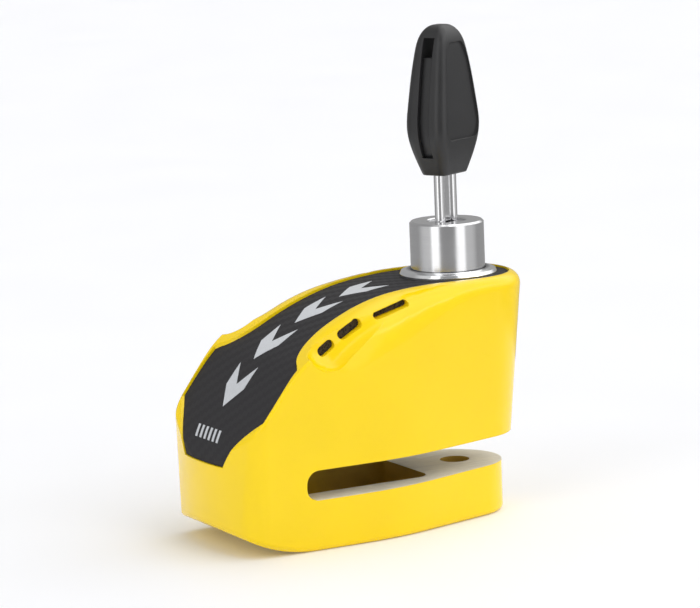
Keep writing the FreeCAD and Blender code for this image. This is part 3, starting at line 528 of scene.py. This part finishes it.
def return_coil(steel):
    """Coil spring of round wire with closed ends."""
    low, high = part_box("return_spring")
    middle = (low + high) / 2
    radius = (high.y - low.y) / 2 - COIL_WIRE
    length = high.z - low.z - 2 * COIL_WIRE
    mesh = bmesh.new()
    rings = []
    for step in range(int(COIL_TURNS * COIL_STEPS) + 1):
        turn = step / COIL_STEPS
        centre = Vector((middle.x, 0, low.z + COIL_WIRE + coil_rise(turn, length)))
        rings.append(wire_ring(mesh, centre, turn, radius))
    for a, b in zip(rings, rings[1:]):
        for k in range(COIL_SIDES):
            n = (k + 1) % COIL_SIDES
            mesh.faces.new((a[k], b[k], b[n], a[n])).smooth = True
    mesh.faces.new(rings[0])
    mesh.faces.new(reversed(rings[-1]))
    coil = solid_piece("return_coil", mesh, steel)
    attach(coil, "lock body")
    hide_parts("return_spring")
    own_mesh(coil)


# --- Printed marks on the cover -----------------------------------------------------------
PRINT_LIFT = 0.04 * MM        # the print stands above the skin and reaches a little into it
PRINT_SINK = 0.05 * MM
SWEEP_CENTRE = Vector((10.0, 0.0, 18.0)) * MM    # the cover's centre line is seen from here
SWEEP_FROM = math.radians(176)
SWEEP_TO = math.radians(84)
SWEEP_STEPS = 160
SWEEP_REACH = 0.2             # rays towards the skin start this far from the sweep's centre
PRINT_REACH = 0.02            # and this far from the centre line

# in millimetres: distance of the point from the cover's lower edge, half width, slant, thickness
CHEVRONS = ((12.2, 4.4, 5.4, 6.0), (25.3, 4.3, 5.4, 6.0),
            (38.4, 4.2, 5.4, 6.0), (51.2, 4.1, 5.2, 6.0))
PRINT_SIDE = 1.3              # the print is a little off the cover's centre line, to the far side
DASHES = 6
DASH_LOW = 3.7                # distances of a dash's ends from the cover's lower edge
DASH_HIGH = 6.7
DASH_PITCH = 2.1
DASH_LEFT = -0.9              # lower left corner, from the dash's place in the row
DASH_WIDTH = 1.0
DASH_SLANT = 0.6


def cover_tree():
    mesh = NODES["top_cover"].data
    points = [v.co.copy() for v in mesh.vertices]
    return BVHTree.FromPolygons(points, [p.vertices[:] for p in mesh.polygons])


def centre_line(tree):
    """Points of the cover's skin along the middle, from the nose to the barrel, with their
    distance along it."""
    line = []
    length = 0.0
    for step in range(SWEEP_STEPS + 1):
        angle = SWEEP_FROM + (SWEEP_TO - SWEEP_FROM) * step / SWEEP_STEPS
        way = Vector((math.cos(angle), 0, math.sin(angle)))
        hit = tree.ray_cast(SWEEP_CENTRE + way * SWEEP_REACH, -way)[0]
        if hit is None:
            continue
        if line:
            length += (hit - line[-1][1]).length
        line.append((length, hit))
    return line


def on_line(line, distance):
    """Point and outward normal of the centre line at a distance along it."""
    for (a, p), (b, q) in zip(line, line[1:]):
        if b >= distance:
            share = (distance - a) / (b - a)
            along = (q - p).normalized()
            return p.lerp(q, share), Vector((-along.z, 0, along.x))
    raise ValueError("mark beyond the cover")


def on_cover(tree, line, distance, side):
    """Point and normal of the cover's skin, at a distance along the line and off to a side."""
    point, normal = on_line(line, distance)
    start = point + normal * PRINT_REACH + Vector((0, side, 0))
    return tree.ray_cast(start, -normal)[:2]


def add_slab(mesh, rows):
    """Close a sheet of (upper, lower) corners into a thin solid."""
    for near, far in zip(rows, rows[1:]):
        for j in range(len(near) - 1):
            cell = (near[j], far[j], far[j + 1], near[j + 1])
            mesh.faces.new([c[0] for c in cell])
            mesh.faces.new([c[1] for c in reversed(cell)])
    border = (rows[0] + [row[-1] for row in rows[1:]] + rows[-1][-2::-1]
              + [row[0] for row in rows[-2:0:-1]])
    for a, b in zip(border, border[1:] + border[:1]):
        mesh.faces.new([a[0], b[0], b[1], a[1]])


def print_quads(name, quads, line, tree, material, across=10, down=10):
    """Thin print that follows the cover.  A quad is four (distance, side) corners in
    millimetres, off the print's own middle."""
    mesh = bmesh.new()
    for quad in quads:
        a, b, c, d = (Vector((distance, side + PRINT_SIDE)) * MM for distance, side in quad)
        rows = []
        for i in range(down + 1):
            left, right = a.lerp(b, i / down), d.lerp(c, i / down)
            row = []
            for j in range(across + 1):
                hit, normal = on_cover(tree, line, *left.lerp(right, j / across))
                row.append([mesh.verts.new(hit + normal * PRINT_LIFT),
                            mesh.verts.new(hit - normal * PRINT_SINK)])
            rows.append(row)
        add_slab(mesh, rows)
    piece = solid_piece(name, mesh, material)
    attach(piece, "lock body")


def chevron(start, half, reach, thick):
    """Arrow band across the cover: two slanted quads that meet in the middle."""
    return [[(start, 0.0), (start + thick, 0.0), (start + thick + reach, side * half),
             (start + reach, side * half)] for side in (-1, 1)]


def small_dashes():
    """Row of short slanted dashes, low on the nose."""
    quads = []
    for k in range(DASHES):
        low = (k - (DASHES - 1) / 2) * DASH_PITCH + DASH_LEFT
        high = low + DASH_SLANT
        quads.append([(DASH_LOW, low), (DASH_HIGH, high), (DASH_HIGH, high + DASH_WIDTH),
                      (DASH_LOW, low + DASH_WIDTH)])
    return quads


def cover_print():
    """Four chevrons and a row of dashes."""
    tree = cover_tree()
    line = centre_line(tree)
    grey = printed_mark()
    for k, row in enumerate(CHEVRONS):
        print_quads(f"cover_chevron_{k + 1}", chevron(*row), line, tree, grey)
    print_quads("cover_dashes", small_dashes(), line, tree, grey, across=3, down=6)


# --- Studio -------------------------------------------------------------------------------
FLOOR_HALF = 8.0
FLOOR_DROP = 0.03 * MM        # floor and table top lie just under the lock
FLOOR_GLOW = 0.06             # keeps the floor white wherever there is no shadow
TABLE_DROP = 0.02 * MM
TABLE_R = 0.20                # floor near the lock, which is also seen in its reflections
TABLE_SIDES = 64
# azimuth to the camera's right in degrees, half width, softness of the edge and added light
BANDS = ((-38.5, 12.5, 3.5, 0.95), (-58.0, 22.0, 24.0, 0.34),
         (41.0, 14.0, 5.0, 0.85), (60.0, 22.0, 26.0, 0.32))
CAMERA_SIDE_LIGHT = 0.32
BACK_LIGHT = 0.37
BACK_FADE = (-0.5, 0.3)       # the fades run between cosines of the angle to the light's middle
TOP_LIGHT = 1.25
TOP_FADE = (0.6, 0.9)
TOP_LEAN = 0.7                # the top light leans to the camera's right, away from the camera
TOP_HEADING = 115
STRIP_LIGHT = 3.2             # narrow strip high up in front, which draws a line on the shoulder
STRIP_LOW = 0.52              # its lower and upper edge, as sines of the height above level
STRIP_HIGH = 0.57
STRIP_SOFT = 0.03
STRIP_FADE = (0.2, 0.8)
STRIP_HEADING = 30
LAMP_SIZE = 0.9
LAMP_POWER = 1.6
LAMP_DISTANCE = 1.0
LAMP_HEADING = -75
LAMP_RISE = 0.35


def flat_piece(name, corners, height, material):
    """Level sheet under the lock."""
    data = bpy.data.meshes.new(name)
    data.from_pydata([(x, y, 0) for x, y in corners], [], [tuple(range(len(corners)))])
    piece = add_piece(name, data, material)
    piece.location.z = CAD_LOW.z + height
    return piece


def floor():
    """Pale floor, with a round table top in the middle.  Only the middle shows in reflections."""
    g = Graph("pale_floor", (0.88, 0.885, 0.91), 0.6, Specular_IOR_Level=0.2)
    g.set("Emission Color", (1.0, 1.0, 1.0, 1.0))
    g.set("Emission Strength", FLOOR_GLOW)
    g.gloss(g.noise(0.05), 0.55, 0.65)
    corners = [(x * FLOOR_HALF, y * FLOOR_HALF) for x, y in ((-1, -1), (1, -1), (1, 1), (-1, 1))]
    wide = flat_piece("floor", corners, -FLOOR_DROP, g.material)
    wide.visible_glossy = False
    angles = [k * math.tau / TABLE_SIDES for k in range(TABLE_SIDES)]
    ring = [(TABLE_R * math.cos(angle), TABLE_R * math.sin(angle)) for angle in angles]
    flat_piece("table_top", ring, -TABLE_DROP, g.material)


def heading(degrees):
    """Level direction at that angle to the right of the camera's."""
    angle = CAMERA_AZIMUTH - math.radians(degrees)
    return Vector((-math.sin(angle), -math.cos(angle), 0))


class Sky(Nodes):
    """The world's nodes: a light strength worked out from the direction."""

    def __init__(self):
        world = bpy.data.worlds.new("studio")
        bpy.context.scene.world = world
        world.use_nodes = True
        super().__init__(world.node_tree)
        self.background = self.tree.nodes["Background"]
        self.way = self.add("TexCoord").outputs["Generated"]
        self.level = self.vector("NORMALIZE", self.vector("MULTIPLY", self.way, (1, 1, 0)))

    def toward(self, degrees):
        """Cosine of the level angle to a heading."""
        return self.vector("DOT_PRODUCT", self.level, heading(degrees))

    def strip(self):
        """Narrow strip high up in front."""
        rise = self.vector("DOT_PRODUCT", self.way, (0, 0, 1))
        above = self.span(rise, STRIP_LOW, STRIP_LOW + STRIP_SOFT, 0.0, STRIP_LIGHT)
        below = self.span(rise, STRIP_HIGH, STRIP_HIGH + STRIP_SOFT, 1.0, 0.0)
        sideways = self.span(self.toward(STRIP_HEADING), *STRIP_FADE)
        return self.math("MULTIPLY", self.math("MULTIPLY", above, below), sideways)


def studio_light():
    """Soft surroundings: two tall bands beside the camera, a narrow strip and a wide light above.
    The camera itself sees plain white behind the floor."""
    sky = Sky()
    light = sky.span(sky.toward(0), *BACK_FADE, BACK_LIGHT, CAMERA_SIDE_LIGHT)
    for azimuth, half, soft, amount in BANDS:
        edge = math.cos(math.radians(half + soft))
        full = math.cos(math.radians(half - soft))
        light = sky.math("ADD", light, sky.span(sky.toward(azimuth), edge, full, 0.0, amount))
    top = (heading(TOP_HEADING) * TOP_LEAN + Vector((0, 0, 1))).normalized()
    above = sky.vector("DOT_PRODUCT", sky.way, top)
    light = sky.math("ADD", light, sky.span(above, *TOP_FADE, 0.0, TOP_LIGHT))
    light = sky.math("ADD", light, sky.strip())
    seen = sky.add("LightPath").outputs["Is Camera Ray"]
    sky.feed(sky.background.inputs["Strength"], sky.span(seen, 0.0, 1.0, light, 1.0))
    sky.feed(sky.background.inputs["Color"], (1, 1, 1, 1))


def side_lamp():
    """Wide soft lamp on the nose's side.  It lights the lock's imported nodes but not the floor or
    the added pieces, and does not show in reflections."""
    data = bpy.data.lights.new("nose_lamp", "AREA")
    data.shape = "DISK"
    data.size = LAMP_SIZE
    data.energy = LAMP_POWER
    lamp = bpy.data.objects.new("nose_lamp", data)
    way = (heading(LAMP_HEADING) + Vector((0, 0, LAMP_RISE))).normalized()
    lamp.location = CAD_MIDDLE + way * LAMP_DISTANCE
    lamp.rotation_euler = way.to_track_quat("Z", "Y").to_euler()
    lamp.visible_glossy = False
    lamp.visible_camera = False
    bpy.context.scene.collection.objects.link(lamp)
    lit = bpy.data.collections.new("lit_by_nose_lamp")
    for node in NODES.values():
        lit.objects.link(node)
    lamp.light_linking.receiver_collection = lit


def camera():
    """Camera on the nose's side, a little above the lock and turned a little about its axis."""
    back = heading(0) * math.cos(CAMERA_ELEVATION) + Vector((0, 0, math.sin(CAMERA_ELEVATION)))
    right = Vector((0, 0, 1)).cross(back).normalized()
    up = back.cross(right)
    roll_right = right * math.cos(CAMERA_ROLL) - up * math.sin(CAMERA_ROLL)
    roll_up = right * math.sin(CAMERA_ROLL) + up * math.cos(CAMERA_ROLL)
    data = bpy.data.cameras.new("camera")
    data.lens = CAMERA_LENS
    data.sensor_width = SENSOR_WIDTH
    data.clip_start = 0.01
    data.clip_end = 50.0
    view = bpy.data.objects.new("camera", data)
    bpy.context.scene.collection.objects.link(view)
    turn = Matrix((roll_right, roll_up, back)).transposed().to_4x4()
    view.matrix_world = Matrix.Translation(CAD_MIDDLE + AIM_OFFSET + back * CAMERA_DISTANCE) @ turn
    bpy.context.scene.camera = view


materials = dress_frame()
slot_faces_with_painted_light()
return_coil(materials["spring_steel"])
cover_print()
floor()
studio_light()
side_lamp()
camera()
bpy.context.scene.view_settings.view_transform = "Standard"
